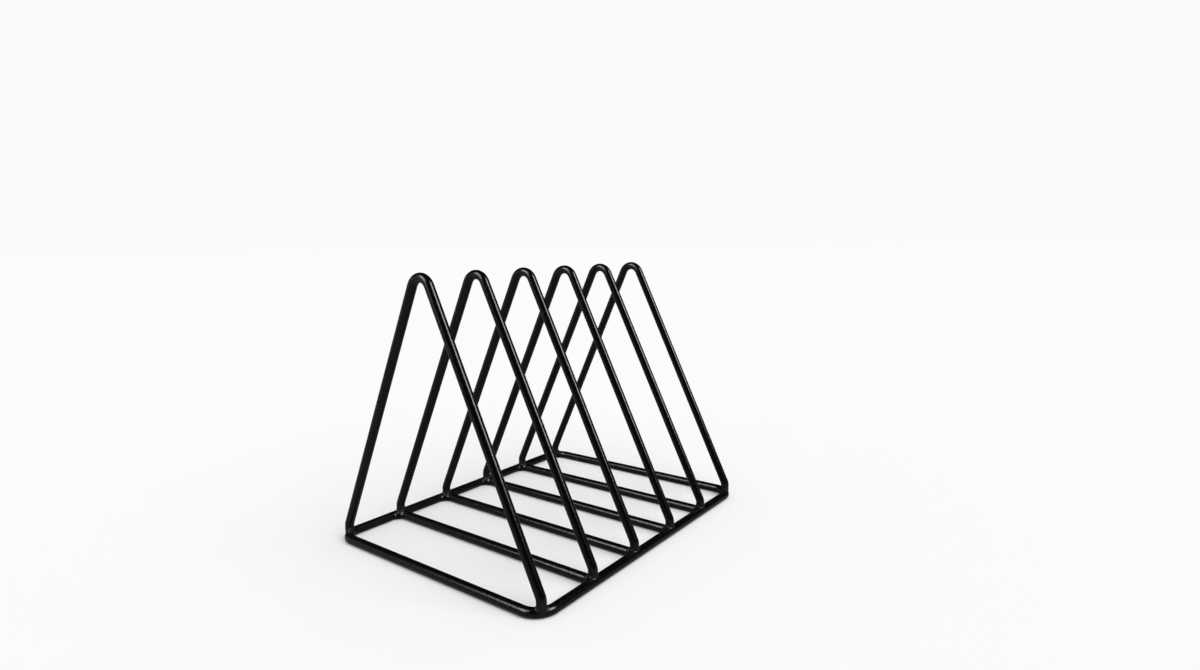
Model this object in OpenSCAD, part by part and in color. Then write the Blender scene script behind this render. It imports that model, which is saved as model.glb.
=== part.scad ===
// Storage stand of round steel wire, for thin flat goods that stand on edge.
// A flat hoop lies on the table. Bent dividers stand on it in a row, with open bays between them,
// and under each inner divider a cross rail ties the hoop's side rails together. The ends of the
// wires are coped and welded with a small bead, and the whole stand is powder coated.
// Lengths are in millimetres. X runs across the stand, Y from its front to its back and Z up.
// The origin is on the table, under the middle of the hoop.

/* [Wire] */
// Diameter of the wire, with its coat
wire_d = 3.9; // [2.6:0.1:5.4]

/* [Base hoop] */
// Width of the hoop between the centre lines of its side rails
hoop_w = 118; // [80:1:180]
// Radius of the hoop's corners, at the wire's centre line
corner_r = 8; // [6:0.5:16]

/* [Row of dividers] */
// Number of dividers, one more than the bays between them
divider_count = 6; // [3:1:9]
// Spacing of the dividers, which is a bay's width plus the wire
bay_pitch = 28.5; // [18:0.5:50]
// Distance from the hoop's front and back rails in to the end dividers
end_inset = 3; // [1.5:0.1:6]

/* [Divider] */
// Height of the stand, to the top of its dividers
stand_h = 120; // [80:1:180]
// Radius of the bend at a divider's top, at the wire's centre line
apex_r = 5.5; // [4:0.5:16]
// Height at which a divider's slanting legs turn upright into its feet
knee_h = 6.9; // [6.5:0.1:14]
// Radius of that bend, at the wire's centre line
knee_r = 4; // [3.5:0.5:8]
// Distance that an inner divider's feet stand inside the side rails' centre lines
foot_inset = 0.7; // [0:0.1:1.2]

/* [Cross rails] */
// Depth to which a cross rail's ends are let into the round of the side rails
rail_bite = 1; // [0.6:0.1:1.2]

/* [Weld beads] */
// Thickness of the skin of weld metal that bridges the seam between two wires
skin_t = 0.25; // [0.15:0.05:0.35]
// Radius of the ball of weld metal that fills a crotch between two wires
ball_r = 1; // [0.8:0.05:1.2]
// Height of that ball above the crotch
ball_proud = 0.5; // [0.35:0.05:0.6]

/* [Hidden] */
$fn = 48;
coat_colour = [0.09, 0.09, 0.09];
bead_colour = [0.13, 0.13, 0.13];

wire_r = wire_d / 2;
side_x = hoop_w / 2;
end_y = end_inset + (divider_count - 1) * bay_pitch / 2;

// Bending stretches the wire, so a bend is a little slimmer than the straight lengths it joins,
// and its ends run on into them by a lap
bend_thinning = 0.02;
bend_lap = 0.15;
bent_wire_r = wire_r - bend_thinning;
// Height of the centre of the bend at a divider's top
apex_z = stand_h - bent_wire_r - apex_r;

// The end dividers stand on the hoop's corners, and the arc there sets how wide they are
corner_reach = corner_r - end_inset;
end_foot_x = side_x - corner_r + sqrt(pow(corner_r, 2) - pow(corner_reach, 2));
inner_foot_x = side_x - foot_inset;
// Direction of the corner's arc under an end divider's foot, turned from the side rail's
corner_turn = asin(corner_reach / corner_r);

// Feet and beads start a little above the centre lines of the wires they stand on
foot_base_z = 1.25 * wire_r;
bead_base_z = 1.1 * wire_r;
// Angle above level of the balls in the corners where a cross rail meets the hoop
corner_rise = 20;
// A ball stands lower where the crotch is wide
wide_proud = ball_proud / 2;

inner_dividers = [for (i = [2 : divider_count - 1]) i];
all_dividers = [for (i = [1 : divider_count]) i];

function is_inner(i) = i > 1 && i < divider_count;
function divider_y(i) = (i - (divider_count + 1) / 2) * bay_pitch;
function foot_x(i) = is_inner(i) ? inner_foot_x : end_foot_x;

// Lean of a leg from upright: it runs from the knee, tangent to the bend at the divider's top
function leg_lean(x) =
    let (rise = apex_z - knee_h)
    atan2(x, rise) - asin(apex_r / norm([x, rise]));

// Length that the bend at the knee takes from the straight wire on each side of it
function knee_cut(x) = knee_r * tan(leg_lean(x) / 2);

// Height of a wire's round above its centre line, at a distance to one side of that line
function round_top(across) = sqrt(pow(wire_r, 2) - pow(across, 2));

module on_side(side) {
    mirror([side > 0 ? 1 : 0, 0, 0])
        children();
}

// A length of straight wire, up from the origin
module straight(length, skin = 0) {
    cylinder(h = length, r = wire_r + skin);
}

// A bend in the wire, flat about the origin from one direction to another
module bend(radius, from, to, skin = 0) {
    lap = bend_lap / radius * 180 / PI;
    rotate_extrude(start = from - lap, angle = to - from + 2 * lap)
        translate([radius, 0])
            circle(r = bent_wire_r + skin);
}

// The hoop's wire. Its ends are butted in the middle of the back rail and dressed flush.
module hoop_wire(skin = 0) {
    side_l = 2 * (end_y - corner_r);
    end_l = 2 * (side_x - corner_r);
    translate([0, 0, wire_r])
        for (turn = [0, 180])
            rotate([0, 0, turn]) {
                translate([side_x, side_l / 2, 0])
                    rotate([90, 0, 0])
                        straight(side_l, skin);
                translate([-end_l / 2, end_y, 0])
                    rotate([0, 90, 0])
                        straight(end_l, skin);
                for (side = [-1, 1])
                    on_side(side)
                        translate([-end_l / 2, side_l / 2, 0])
                            bend(corner_r, 90, 180, skin);
            }
}

// A cross rail's wire, cut square and let into the side rails at each end
module rail_wire(i, skin = 0) {
    half = side_x - wire_r + rail_bite;
    translate([-half, divider_y(i), wire_r])
        rotate([0, 90, 0])
            straight(2 * half, skin);
}

// The left foot of a divider, from a height up to the knee
module foot_wire(i, base_z, skin = 0) {
    x = foot_x(i);
    translate([-x, divider_y(i), base_z])
        straight(knee_h - knee_cut(x) - base_z, skin);
}

// A divider's wire: up from the left foot, round the top and down into the right foot
module divider_wire(i) {
    x = foot_x(i);
    lean = leg_lean(x);
    leg = x / sin(lean) - knee_cut(x) - apex_r / tan(lean);
    for (side = [-1, 1])
        on_side(side) {
            foot_wire(i, foot_base_z);
            translate([knee_r - x, divider_y(i), knee_h - knee_cut(x)]) {
                rotate([90, 0, 0])
                    bend(knee_r, 180 - lean, 180);
                translate([-knee_r * cos(lean), 0, knee_r * sin(lean)])
                    rotate([0, lean, 0])
                        straight(leg);
            }
        }
    translate([0, divider_y(i), apex_z])
        rotate([90, 0, 0])
            bend(apex_r, lean, 180 - lean);
}

// A ball of weld metal in a crotch. It stands proud of the crotch's deepest point, which is at
// the given place, by the given height. Its direction is the sum of the two wires' normals there.
module ball(place, direction, proud = ball_proud) {
    translate(place + (proud - ball_r) / norm(direction) * direction)
        sphere(r = ball_r);
}

// Balls along the hoop, before and behind a divider's left foot
module foot_balls(i) {
    inset = is_inner(i) ? foot_inset : 0;
    turn = is_inner(i) ? 0 : i == 1 ? corner_turn : -corner_turn;
    translate([-foot_x(i), divider_y(i), wire_r])
        rotate([0, 0, turn])
            for (way = [-1, 1])
                ball([0, way * wire_r, round_top(inset)], [0, way, 1]);
}

// Balls where a divider's left foot stands on a cross rail's end, and in that end's own corners
module rail_balls(i) {
    outer = wire_r - foot_inset;
    outer_top = round_top(outer);
    out = cos(corner_rise);
    up = sin(corner_rise);
    translate([-side_x, divider_y(i), wire_r]) {
        ball([foot_inset + wire_r, 0, wire_r], [1, 0, 1]);
        ball([-outer, 0, outer_top], [-wire_r - outer, 0, outer_top], wide_proud);
        for (way = [-1, 1])
            ball(wire_r * [out, way * out, up], [out, way * out, 2 * up]);
    }
}

// Skin of weld metal over the seam at a divider's left foot: it fills what the foot and the wires
// under it would share if they were a little thicker
module seam_skin(i) {
    intersection() {
        foot_wire(i, bead_base_z, skin_t);
        union() {
            hoop_wire(skin_t);
            if (is_inner(i)) rail_wire(i, skin_t);
        }
    }
}

module base_hoop() {
    color(coat_colour) hoop_wire();
}

module cross_rail(i) {
    color(coat_colour)
        difference() {
            rail_wire(i);
            hoop_wire();
        }
}

module divider(i) {
    color(coat_colour)
        difference() {
            divider_wire(i);
            hoop_wire();
            if (is_inner(i)) rail_wire(i);
        }
}

module weld(i, side) {
    color(bead_colour)
        on_side(side)
            difference() {
                union() {
                    seam_skin(i);
                    foot_balls(i);
                    if (is_inner(i)) rail_balls(i);
                }
                hoop_wire();
                foot_wire(i, foot_base_z);
                if (is_inner(i)) rail_wire(i);
            }
}

base_hoop();
for (i = inner_dividers)
    cross_rail(i);
for (i = all_dividers) {
    divider(i);
    weld(i, -1);
    weld(i, 1);
}
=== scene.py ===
"""Looks of the wire storage stand: formed wires, weld beads, powder coat, floor, light and camera."""

import math
import random

import bpy
from mathutils import Matrix, Vector


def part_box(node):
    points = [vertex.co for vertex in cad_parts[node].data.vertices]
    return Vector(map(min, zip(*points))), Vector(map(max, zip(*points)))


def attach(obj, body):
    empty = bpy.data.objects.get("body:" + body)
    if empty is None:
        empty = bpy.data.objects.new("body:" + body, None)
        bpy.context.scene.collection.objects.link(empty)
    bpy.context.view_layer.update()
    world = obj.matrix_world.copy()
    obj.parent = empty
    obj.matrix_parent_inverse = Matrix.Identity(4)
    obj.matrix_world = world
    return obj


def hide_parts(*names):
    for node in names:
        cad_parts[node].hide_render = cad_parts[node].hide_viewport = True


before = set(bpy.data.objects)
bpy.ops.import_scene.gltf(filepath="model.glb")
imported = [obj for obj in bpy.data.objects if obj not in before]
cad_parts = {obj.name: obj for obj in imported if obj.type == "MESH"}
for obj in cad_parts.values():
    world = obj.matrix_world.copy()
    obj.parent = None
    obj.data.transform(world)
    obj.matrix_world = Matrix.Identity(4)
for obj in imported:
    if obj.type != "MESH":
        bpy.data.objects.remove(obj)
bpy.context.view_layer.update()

MM = 0.001
ACROSS = Vector((1, 0, 0))
BACK = Vector((0, 1, 0))
UP = Vector((0, 0, 1))

# ---------------------------------------------------------------- Sizes of the stand

rail_low, rail_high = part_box("cross_rail_2")
hoop_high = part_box("base_hoop")[1]
WIRE_R = (rail_high.z - rail_low.z) / 2
# Centre lines of the hoop's side rails, and of its front and back rails
SIDE_X = hoop_high.x - WIRE_R
END_Y = hoop_high.y - WIRE_R
# Radii of the bends, at the wire's centre line
CORNER_R = 8 * MM
APEX_R = 5.5 * MM
KNEE_R = 4 * MM
# Height at which a divider's slanting legs turn upright into its feet
KNEE_H = 6.9 * MM
# Height at which a divider's feet begin, inside the wires that they stand on
FOOT_BASE_Z = 1.25 * WIRE_R
# Depth to which a cross rail's ends are let into the side rails
RAIL_BITE = 1 * MM

DIVIDERS = sorted(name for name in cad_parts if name.startswith("divider_"))
CROSS_RAILS = sorted(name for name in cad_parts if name.startswith("cross_rail_"))


def divider_place(name):
    """Depth of a divider's plane, and how far out its feet stand."""
    low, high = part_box(name)
    return (low.y + high.y) / 2, high.x - WIRE_R


FIRST_DEPTH, END_FOOT_X = divider_place(DIVIDERS[0])
BAY_PITCH = divider_place(DIVIDERS[1])[0] - FIRST_DEPTH


# ---------------------------------------------------------------- Shader maths


class Value:
    """A node socket that takes part in Python expressions."""

    def __init__(self, graph, socket):
        self.graph = graph
        self.socket = socket

    def _math(self, operation, *values):
        return self.graph.node("ShaderNodeMath", {"operation": operation}, *values)

    def __add__(self, other):
        return self._math("ADD", self, other)

    def __radd__(self, other):
        return self._math("ADD", other, self)

    def __sub__(self, other):
        return self._math("SUBTRACT", self, other)

    def __rsub__(self, other):
        return self._math("SUBTRACT", other, self)

    def __mul__(self, other):
        return self._math("MULTIPLY", self, other)

    def __rmul__(self, other):
        return self._math("MULTIPLY", other, self)

    def __abs__(self):
        return self._math("ABSOLUTE", self)

    def folded(self, spacing):
        """Distance to the nearest multiple of the spacing."""
        return self._math("PINGPONG", self, spacing / 2)

    def between(self, low, high):
        """0 below low, 1 above high and a smooth rise from one to the other."""
        settings = {"interpolation_type": "SMOOTHSTEP"}
        return self.graph.node("ShaderNodeMapRange", settings, self, low, high, 0.0, 1.0)


class Graph:
    """The node tree of a material or of the world."""

    def __init__(self, owner):
        self.owner = owner
        owner.use_nodes = True
        self.tree = owner.node_tree
        self.tree.nodes.clear()

    def fill(self, socket, value):
        """Links a value to a socket, or sets a plain number or colour on it."""
        if isinstance(value, Value):
            self.tree.links.new(value.socket, socket)
        else:
            socket.default_value = value

    def node(self, kind, settings, *values, out=0, **named):
        """Adds a node, sets its properties, then fills its sockets in order or by name."""
        new = self.tree.nodes.new(kind)
        for key, setting in settings.items():
            setattr(new, key, setting)
        for index, value in enumerate(values):
            self.fill(new.inputs[index], value)
        for name, value in named.items():
            self.fill(new.inputs[name.replace("_", " ")], value)
        return Value(self, new.outputs[out]) if new.outputs else None

    def blend(self, share, first, second):
        """A mix of two colours."""
        new = self.tree.nodes.new("ShaderNodeMix")
        new.data_type = "RGBA"
        sockets = {socket.identifier: socket for socket in new.inputs}
        for name, value in (("Factor_Float", share), ("A_Color", first), ("B_Color", second)):
            self.fill(sockets[name], value)
        colour = next(socket for socket in new.outputs if socket.identifier == "Result_Color")
        return Value(self, colour)

    def noise(self, place, size, detail=1.0):
        """Noise whose lumps are about as large as the size given."""
        return self.node("ShaderNodeTexNoise", {}, Vector=place, Scale=1 / size, Detail=detail)


def grey(level):
    return (level, level, level, 1)


# ---------------------------------------------------------------- Powder coat

# Middle of a weld, and the distances from it at which the duller coat begins to fade and has gone
WELD_X = END_FOOT_X + 0.3 * MM
WELD_Z = 4.1 * MM
DULL_TO = 2.3 * MM
DULL_GONE = 3.3 * MM
# That edge wanders in and out by this much in all, in patches of this size
RAGGED_BY = 1.6 * MM
RAGGED_PATCHES = 1.2 * MM

# Sizes of the marks in the coat: the orange peel's waves, lumps and grain, the clouds in the gloss
# and the patches of thicker and thinner film. Noise swings either side of its middle.
WAVES = 3.2 * MM
LUMPS = 1.1 * MM
GRAIN = 0.25 * MM
CLOUDS = 14 * MM
FILM = 0.9 * MM
NOISE_MIDDLE = 0.5
# Spacing of the nibs, and the shares of it at which a nib begins to fall away and has gone
NIB_SPACING = 4.5 * MM
NIB_TOP = 0.04
NIB_FOOT = 0.10
# Heights of the marks, as shares of the peel's depth. The grain is higher on the welds.
WAVE_HEIGHT = 0.6
LUMP_HEIGHT = 0.4
NIB_HEIGHT = 0.35
GRAIN_HEIGHT = 0.06
WELD_GRAIN_HEIGHT = 0.14
# What the clouds and lumps change in the roughness, and what the welds add to it
CLOUD_ROUGHNESS = 0.12
LUMP_ROUGHNESS = 0.08
WELD_ROUGHNESS = 0.22
# Gloss of the clear surface: at its least, what a thick film adds, and what the welds take away
THIN_GLOSS = 0.4
FILM_GLOSS = 0.6
WELD_LOSS = 0.8
# Levels of the noise between which the colour goes from the painted shade to the painted light, and the
# gloss from one to the other
PAINTED_SHADE_CHANGE = (0.35, 0.65)
GLOSS_CHANGE = (0.25, 0.75)
# The coat's colour in the peel's hollows, darker as painted shade, on its lumps, lighter as painted
# light, and on the welds
HOLLOW_SHADE_BLACK = grey(0.0004)
LUMP_SHEEN_BLACK = grey(0.0016)
WELD_BLACK = grey(0.010)


def near_welds(graph, place):
    """1 on the welds, where the coat is duller, and 0 on the wires away from them."""
    across, depth, height = (
        graph.node("ShaderNodeSeparateXYZ", {}, place, out=axis) for axis in "XYZ"
    )
    off_foot = abs(across) - WELD_X
    off_plane = (depth - FIRST_DEPTH).folded(BAY_PITCH)
    spot = graph.node("ShaderNodeCombineXYZ", {}, off_foot, off_plane, height - WELD_Z)
    distance = graph.node("ShaderNodeVectorMath", {"operation": "LENGTH"}, spot, out="Value")
    ragged = distance + (graph.noise(place, RAGGED_PATCHES) - NOISE_MIDDLE) * RAGGED_BY
    return 1 - ragged.between(DULL_TO, DULL_GONE)


def powder_coat(name, roughness, peel):
    """Black powder coat: satin, with the orange peel of the cured powder and a few nibs."""
    graph = Graph(bpy.data.materials.new(name))
    place = graph.node("ShaderNodeTexCoord", {}, out="Object")
    waves = graph.noise(place, WAVES)
    lumps = graph.noise(place, LUMPS, detail=2.0)
    grain = graph.noise(place, GRAIN)
    clouds = graph.noise(place, CLOUDS, detail=3.0)
    film = graph.noise(place, FILM)
    weld = near_welds(graph, place)
    specks = graph.node("ShaderNodeTexVoronoi", {}, Vector=place, Scale=1 / NIB_SPACING)
    nibs = 1 - specks.between(NIB_TOP, NIB_FOOT)
    height = waves * WAVE_HEIGHT + lumps * LUMP_HEIGHT
    height = height + grain * (GRAIN_HEIGHT + WELD_GRAIN_HEIGHT * weld) + nibs * NIB_HEIGHT
    # Painted shade and light: the colour is darker in the hollows of the peel and lighter on its lumps
    shaded_black = graph.blend(lumps.between(*PAINTED_SHADE_CHANGE), HOLLOW_SHADE_BLACK, LUMP_SHEEN_BLACK)
    rough = roughness + (clouds - NOISE_MIDDLE) * CLOUD_ROUGHNESS
    rough = rough + (lumps - NOISE_MIDDLE) * LUMP_ROUGHNESS + weld * WELD_ROUGHNESS
    gloss = THIN_GLOSS + FILM_GLOSS * film.between(*GLOSS_CHANGE)
    surface = graph.node(
        "ShaderNodeBsdfPrincipled",
        {},
        Base_Color=graph.blend(weld, shaded_black, WELD_BLACK),
        Roughness=rough,
        Specular_IOR_Level=0.25,
        Coat_Weight=gloss * (1 - WELD_LOSS * weld),
        Coat_Roughness=0.20,
        Normal=graph.node("ShaderNodeBump", {}, Strength=1.0, Distance=peel, Height=height),
    )
    graph.node("ShaderNodeOutputMaterial", {}, Surface=surface)
    return graph.owner


COATS = {
    "wire_coat": powder_coat("wire_coat", roughness=0.20, peel=0.14 * MM),
    "weld_coat": powder_coat("weld_coat", roughness=0.24, peel=0.20 * MM),
}


# ---------------------------------------------------------------- Modelling tools

# Fineness of a wire's mesh round the wire and along its bends
WIRE_FACETS = 48
BEND_STEP = math.radians(4)
# Points that are nearer than this are made one
SEAM = 0.001 * MM
# Edges at which the surface turns by less than this are smooth
SMOOTH_TURN = math.radians(50)


def deselect():
    bpy.ops.object.select_all(action="DESELECT")


def take(piece):
    """Makes a piece the only one selected."""
    deselect()
    piece.select_set(True)
    bpy.context.view_layer.objects.active = piece


def settle(piece):
    """Moves a piece's place, turn and scale into its mesh."""
    take(piece)
    bpy.ops.object.transform_apply(location=True, rotation=True, scale=True)
    return piece


def name_piece(piece, name):
    """Names a piece and its mesh."""
    piece.name = name
    piece.data.name = name
    return piece


def turned_along(direction):
    """Turn that points a primitive's axis along a direction."""
    return Vector(direction).to_track_quat("Z", "Y").to_euler()


class WireFormer:
    """Forms a wire as a bending machine does: it feeds straight lengths and bends them in a plane."""

    def __init__(self, start, heading, normal, radius=WIRE_R):
        self.point = Vector(start)
        self.heading = Vector(heading).normalized()
        self.normal = Vector(normal)
        deselect()
        bpy.ops.mesh.primitive_circle_add(
            vertices=WIRE_FACETS,
            radius=radius,
            fill_type="NOTHING",
            location=self.point,
            rotation=turned_along(self.heading),
        )
        self.piece = settle(bpy.context.active_object)
        bpy.ops.object.mode_set(mode="EDIT")
        bpy.ops.mesh.select_all(action="SELECT")

    def feed(self, length):
        """Feeds a straight length."""
        step = self.heading * length
        bpy.ops.mesh.extrude_region_move(TRANSFORM_OT_translate={"value": step})
        self.point += step
        return self

    def bend(self, angle, radius):
        """Turns the wire by an angle about the normal, with its centre line at a radius."""
        centre = self.point + self.normal.cross(self.heading) * radius
        steps = math.ceil(angle / BEND_STEP)
        bpy.ops.mesh.spin(steps=steps, angle=-angle, center=centre, axis=self.normal)
        turn = Matrix.Rotation(angle, 3, self.normal)
        self.point = centre + turn @ (self.point - centre)
        self.heading = turn @ self.heading
        return self

    def finish(self, name, closed=False):
        """Closes the wire's two ends, or joins them into a hoop."""
        bpy.ops.mesh.select_all(action="SELECT")
        bpy.ops.mesh.remove_doubles(threshold=SEAM)
        if not closed:
            bpy.ops.mesh.select_all(action="DESELECT")
            bpy.ops.mesh.select_non_manifold()
            bpy.ops.mesh.fill_holes(sides=0)
        bpy.ops.mesh.select_all(action="SELECT")
        bpy.ops.mesh.normals_make_consistent(inside=False)
        bpy.ops.object.mode_set(mode="OBJECT")
        bpy.ops.object.shade_smooth_by_angle(angle=SMOOTH_TURN)
        return name_piece(self.piece, name)


def copy_back(piece, name, distance):
    """Copies a piece, with a mesh of its own, to a place further back."""
    take(piece)
    bpy.ops.object.duplicate()
    copy = bpy.context.active_object
    copy.location.y += distance
    return settle(name_piece(copy, name))


def dress(piece, node, slot):
    """Coats a piece and lets it stand for its node."""
    piece.data.materials.clear()
    piece.data.materials.append(COATS[slot])
    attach(piece, "root")
    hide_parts(node)


# ---------------------------------------------------------------- Wires


def form_hoop(node):
    """The base hoop, from the butt joint in the middle of its back rail round to it again."""
    across = SIDE_X - CORNER_R
    along = 2 * (END_Y - CORNER_R)
    wire = WireFormer((0, END_Y, WIRE_R), -ACROSS, UP)
    wire.feed(across)
    for length in (along, 2 * across, along, across):
        wire.bend(math.pi / 2, CORNER_R).feed(length)
    return wire.finish(node + "_wire", closed=True)


def form_cross_rail(node):
    """A cross rail, cut square and let into the side rails at each end."""
    low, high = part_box(node)
    half = SIDE_X - WIRE_R + RAIL_BITE
    wire = WireFormer((-half, (low.y + high.y) / 2, WIRE_R), ACROSS, BACK)
    return wire.feed(2 * half).finish(node + "_wire")


def form_divider(node):
    """A divider, from its left foot over its top to its right foot."""
    depth, foot_x = divider_place(node)
    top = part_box(node)[1].z
    rise = top - WIRE_R - APEX_R - KNEE_H
    lean = math.atan2(foot_x, rise) - math.asin(APEX_R / math.hypot(foot_x, rise))
    knee_cut = KNEE_R * math.tan(lean / 2)
    foot = KNEE_H - knee_cut - FOOT_BASE_Z
    leg = foot_x / math.sin(lean) - knee_cut - APEX_R / math.tan(lean)
    wire = WireFormer((-foot_x, depth, FOOT_BASE_Z), UP, BACK)
    wire.feed(foot).bend(lean, KNEE_R)
    wire.feed(leg).bend(math.pi - 2 * lean, APEX_R)
    wire.feed(leg).bend(lean, KNEE_R)
    return wire.feed(foot).finish(node + "_wire")


def form_alike(nodes, form):
    """Forms the first of some like wires and copies it to the places of the others."""
    first = form(nodes[0])
    dress(first, nodes[0], "wire_coat")
    for node in nodes[1:]:
        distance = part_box(node)[0].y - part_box(nodes[0])[0].y
        dress(copy_back(first, node + "_wire", distance), node, "wire_coat")


form_alike(["base_hoop"], form_hoop)
form_alike(CROSS_RAILS, form_cross_rail)
form_alike(DIVIDERS[1:-1], form_divider)
form_alike([DIVIDERS[0], DIVIDERS[-1]], form_divider)


# ---------------------------------------------------------------- Weld beads

# The drops vary from bead to bead, in the same way on each run
random.seed(11)

LEFT = -1
RIGHT = 1

# A bead grows on stubs of the wires that it joins. The foot's is this long, in radii of the wire.
FOOT_STUB = 2.8
# Length of the side rail's stub each way, and how many times as long the cross rail's is
SIDE_STUB = 5.6 * MM
CROSS_STUB = 1.3
# Turn of the stub round a corner of the hoop, each way from the foot
CORNER_STUB = math.radians(36)
# The melted metal is built of cubes of this size, and the flow then smooths it
MELT_VOXEL = 0.13 * MM
FLOW_FACTOR = 0.5
FLOW_STEPS = 120
# The flow thins a stub by more than this, so that the bead runs out into the wire's skin
FLOW_ALLOWANCE = 0.02 * MM

# Share by which a drop's size varies from bead to bead, and the stretches of the drops
DROP_SCATTER = 0.1
ROUND = (1, 1, 1)
LONG_ACROSS = (1.5, 1, 1)
FLAT = (1.2, 1.2, 1)
# Drops of weld metal at an inner foot: place, radius and stretch, in millimetres. A place is measured
# outwards, backwards and upwards from the middle of the foot, at the height of the rails' tops.
INNER_DROPS = (
    # On the side rail, before and behind the foot
    ((0.2, -1.9, -0.4), 0.75, LONG_ACROSS),
    ((0.2, 1.8, -0.5), 0.80, LONG_ACROSS),
    # On the cross rail, at its middle and on its front
    ((-1.9, 0, -0.3), 0.75, (1, 1.5, 1)),
    ((-2.6, -0.9, -0.5), 0.60, ROUND),
    # In the corner between the foot and both rails, at the front
    ((-1.4, -2.1, -0.6), 0.55, ROUND),
    # Outside the foot, on the side rail's round
    ((1.2, 0.2, -0.9), 0.90, (1, 1.5, 1.1)),
)


def end_drops(fill, lump_place, lump):
    """Drops at an end foot.

    A place is measured round the hoop's corner, away from the corner's centre and upwards, from the
    same point of the foot as at an inner one.
    """
    return (
        # On the hoop, on both sides of the foot
        ((1.9, 0, -0.3), fill, FLAT),
        ((-1.9, 0, -0.3), fill, FLAT),
        # A lump beside the foot
        (lump_place, lump, ROUND),
        # Inside and outside the foot
        ((0, -1.4, -0.7), 0.9, ROUND),
        ((0, 0.9, -1.0), 1.1, ROUND),
    )


# The left end feet got more metal than the right ones
END_DROPS = {
    LEFT: end_drops(0.9, (2.1, -0.9, -0.4), 1.26),
    RIGHT: end_drops(0.6, (1.7, -1.3, -0.9), 0.66),
}

# Fillets of metal run between the rails, before and behind a cross rail. Their sizes are in millimetres:
# their reach, which is the widest where the weld began, how far they lie under the rails' centre lines,
# and how much smaller than the wire's their radius is.
FILLET_REACH = {LEFT: (6.9, 5.8), RIGHT: (5.8, 5.8)}
FILLET_SINK = 0.35
FILLET_SLIMMER = 0.5


def stub(start, end):
    """A short length of wire between two points, for the bead to grow on."""
    along = Vector(end) - Vector(start)
    deselect()
    bpy.ops.mesh.primitive_cylinder_add(
        vertices=WIRE_FACETS,
        radius=WIRE_R + FLOW_ALLOWANCE,
        depth=along.length,
        location=Vector(start) + along / 2,
        rotation=turned_along(along),
    )
    return settle(bpy.context.active_object)


def drop(place, radius, stretch):
    """A drop of weld metal."""
    deselect()
    bpy.ops.mesh.primitive_ico_sphere_add(
        subdivisions=3,
        radius=radius * random.uniform(1 - DROP_SCATTER, 1 + DROP_SCATTER),
        location=place,
        scale=stretch,
    )
    return settle(bpy.context.active_object)


def run_together(name, parts):
    """Melts the parts of a bead into one skin, whose metal fills the corners between the wires."""
    deselect()
    for part in parts:
        part.select_set(True)
    bead = parts[0]
    bpy.context.view_layer.objects.active = bead
    bpy.ops.object.join()
    melt = bead.modifiers.new("melt", "REMESH")
    melt.mode = "VOXEL"
    melt.voxel_size = MELT_VOXEL
    bpy.ops.object.modifier_apply(modifier="melt")
    flow = bead.modifiers.new("flow", "SMOOTH")
    flow.factor = FLOW_FACTOR
    flow.iterations = FLOW_STEPS
    bpy.ops.object.modifier_apply(modifier="flow")
    bpy.ops.object.shade_smooth()
    return name_piece(bead, name)


def inner_bead(name, foot_x, depth, side):
    """The bead where an inner divider's foot stands on a cross rail's end and the side rail."""
    foot = Vector((side * foot_x, depth, WIRE_R))
    crossing = Vector((side * SIDE_X, depth, WIRE_R))

    def at(out, back, up):
        return Vector((side * (foot_x + out * MM), depth + back * MM, 2 * WIRE_R + up * MM))

    parts = [
        stub(foot, foot + UP * FOOT_STUB * WIRE_R),
        stub(crossing - BACK * SIDE_STUB, crossing + BACK * SIDE_STUB),
        stub(crossing, crossing - ACROSS * side * CROSS_STUB * SIDE_STUB),
    ]
    for place, radius, stretch in INNER_DROPS:
        parts.append(drop(at(*place), radius * MM, stretch))
    for way, reach in zip((-1, 1), FILLET_REACH[side]):
        start = crossing + BACK * way * reach * MM - UP * FILLET_SINK * MM
        arc = WireFormer(start, -BACK * way, -UP * way * side, WIRE_R - FILLET_SLIMMER * MM)
        parts.append(arc.bend(math.pi / 2, reach * MM).finish("fillet"))
    return run_together(name, parts)


def end_bead(name, foot_x, depth, side):
    """The bead where an end divider's foot stands on a corner of the hoop."""
    # -1 at the front of the hoop and 1 at its back
    end = math.copysign(1, depth)
    centre = Vector((side * (SIDE_X - CORNER_R), end * (END_Y - CORNER_R), WIRE_R))
    foot = Vector((side * foot_x, depth, WIRE_R))
    spoke = foot - centre
    outward = spoke.normalized()
    along = UP.cross(spoke).normalized()
    crown = foot + UP * WIRE_R

    def at(around, out, up):
        return crown + along * around * MM + outward * out * MM + UP * up * MM

    start = centre + Matrix.Rotation(-CORNER_STUB, 3, UP) @ spoke
    arc = WireFormer(start, UP.cross(start - centre), UP)
    parts = [
        arc.bend(2 * CORNER_STUB, CORNER_R).finish("corner"),
        stub(foot, foot + UP * FOOT_STUB * WIRE_R),
    ]
    for place, radius, stretch in END_DROPS[side]:
        parts.append(drop(at(*place), radius * MM, stretch))
    return run_together(name, parts)


for divider in DIVIDERS:
    number = divider.removeprefix("divider_")
    depth, foot_x = divider_place(divider)
    make_bead = inner_bead if "cross_rail_" + number in CROSS_RAILS else end_bead
    for side, word in ((LEFT, "left"), (RIGHT, "right")):
        node = f"weld_{word}_{number}"
        dress(make_bead(node + "_bead", foot_x, depth, side), node, "weld_coat")


# ---------------------------------------------------------------- Floor and light

# Width of the floor and distance of the lit cards, in metres
FLOOR_SIZE = 60
CARD_DISTANCE = 1.6
# Levels of grey: the floor, the backdrop as the camera sees it, what the coat's sheen shows of the room
# and of the floor, and the even light that the room gives
PALE = 0.90
WHITE = 0.96
ROOM_SHEEN = 0.012
FLOOR_SHEEN = 0.17
FILL = 0.50


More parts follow.
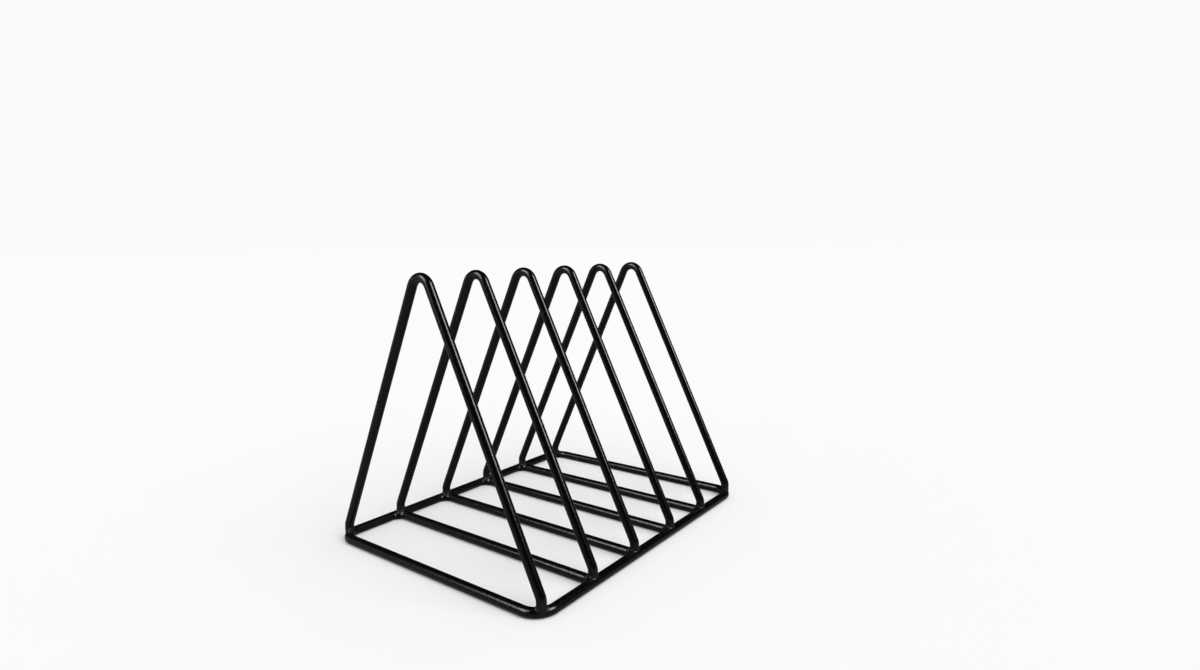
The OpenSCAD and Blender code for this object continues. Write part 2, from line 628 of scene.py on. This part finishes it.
def lay_floor():
    """A plain floor, pale to the camera and dim in the coat's sheen."""
    deselect()
    bpy.ops.mesh.primitive_plane_add(size=FLOOR_SIZE)
    floor = bpy.context.active_object
    floor.name = "floor"
    graph = Graph(bpy.data.materials.new("pale_floor"))
    surface = graph.node(
        "ShaderNodeMixShader",
        {},
        graph.node("ShaderNodeLightPath", {}, out="Is Camera Ray"),
        graph.node("ShaderNodeBsdfDiffuse", {}, Color=grey(FLOOR_SHEEN)),
        graph.node("ShaderNodeBsdfDiffuse", {}, Color=grey(PALE)),
    )
    graph.node("ShaderNodeOutputMaterial", {}, Surface=surface)
    floor.data.materials.append(graph.owner)


def light_room():
    """Even light from all round, white to the camera and dim in the coat's sheen."""
    world = bpy.data.worlds.new("studio")
    bpy.context.scene.world = world
    graph = Graph(world)
    strength = FILL
    for ray, level in (("Is Glossy Ray", ROOM_SHEEN), ("Is Camera Ray", WHITE)):
        share = graph.node("ShaderNodeLightPath", {}, out=ray)
        strength = strength + share * (level - strength)
    backdrop = graph.node("ShaderNodeBackground", {}, Color=grey(1), Strength=strength)
    graph.node("ShaderNodeOutputWorld", {}, Surface=backdrop)


def direction(heading, height):
    """Unit vector at an angle left of the back and an angle above level."""
    turn = math.radians(heading)
    rise = math.radians(height)
    level = math.cos(rise)
    return Vector((-math.sin(turn) * level, math.cos(turn) * level, math.sin(rise)))


def hang(name, light, place):
    """Hangs a light at a place and points it at the stand."""
    lamp = bpy.data.objects.new(name, light)
    bpy.context.scene.collection.objects.link(lamp)
    lamp.location = place
    lamp.rotation_euler = (-place).to_track_quat("-Z", "Y").to_euler()
    return lamp


def sky(name, heading, height, strength, spread):
    """A broad soft light, equal all over the floor, that lights colour and casts the shadow."""
    light = bpy.data.lights.new(name, "SUN")
    light.energy = strength
    light.angle = math.radians(spread)
    hang(name, light, direction(heading, height)).visible_glossy = False


def card(name, heading, height, width, tall, brightness):
    """A lit card that only the sheen of the coat shows. Its sizes are angles seen from the stand."""
    light = bpy.data.lights.new(name, "AREA")
    light.shape = "RECTANGLE"
    light.size = 2 * CARD_DISTANCE * math.tan(math.radians(width / 2))
    light.size_y = 2 * CARD_DISTANCE * math.tan(math.radians(tall / 2))
    light.energy = brightness * math.pi * light.size * light.size_y
    hang(name, light, direction(heading, height) * CARD_DISTANCE).visible_diffuse = False


lay_floor()
light_room()
sky("key", heading=-100, height=52, strength=2.3, spread=60)
card("window", heading=-74, height=40, width=22, tall=31, brightness=7.4)
card("high_left", heading=153, height=41, width=30, tall=30, brightness=5.0)
card("mid_left", heading=160, height=19, width=24, tall=15, brightness=1.4)
card("far_left", heading=122, height=10, width=40, tall=24, brightness=0.28)


# ---------------------------------------------------------------- Camera

# The camera as solved from the photograph: its place, heading left of the back, downward tilt and roll
CAMERA_PLACE = Vector((208.89, -238.44, 129.40)) * MM
CAMERA_HEADING = math.radians(36.678)
CAMERA_TILT = math.radians(7.514)
CAMERA_ROLL = math.radians(-0.758)
FOCAL_PIXELS = 682.65
IMAGE_WIDTH_PIXELS = 1200
# Width of the sensor, in millimetres as the focal length is, and the nearest distance that is drawn
SENSOR = 36
NEAREST_SEEN = 10 * MM

lens = bpy.data.cameras.new("camera")
lens.sensor_fit = "HORIZONTAL"
lens.sensor_width = SENSOR
lens.lens = SENSOR * FOCAL_PIXELS / IMAGE_WIDTH_PIXELS
lens.clip_start = NEAREST_SEEN
camera = bpy.data.objects.new("camera", lens)
bpy.context.scene.collection.objects.link(camera)
camera.matrix_world = (
    Matrix.Translation(CAMERA_PLACE)
    @ Matrix.Rotation(CAMERA_HEADING, 4, "Z")
    @ Matrix.Rotation(math.pi / 2 - CAMERA_TILT, 4, "X")
    @ Matrix.Rotation(CAMERA_ROLL, 4, "Z")
)
bpy.context.scene.camera = camera
bpy.context.scene.view_settings.view_transform = "Standard"
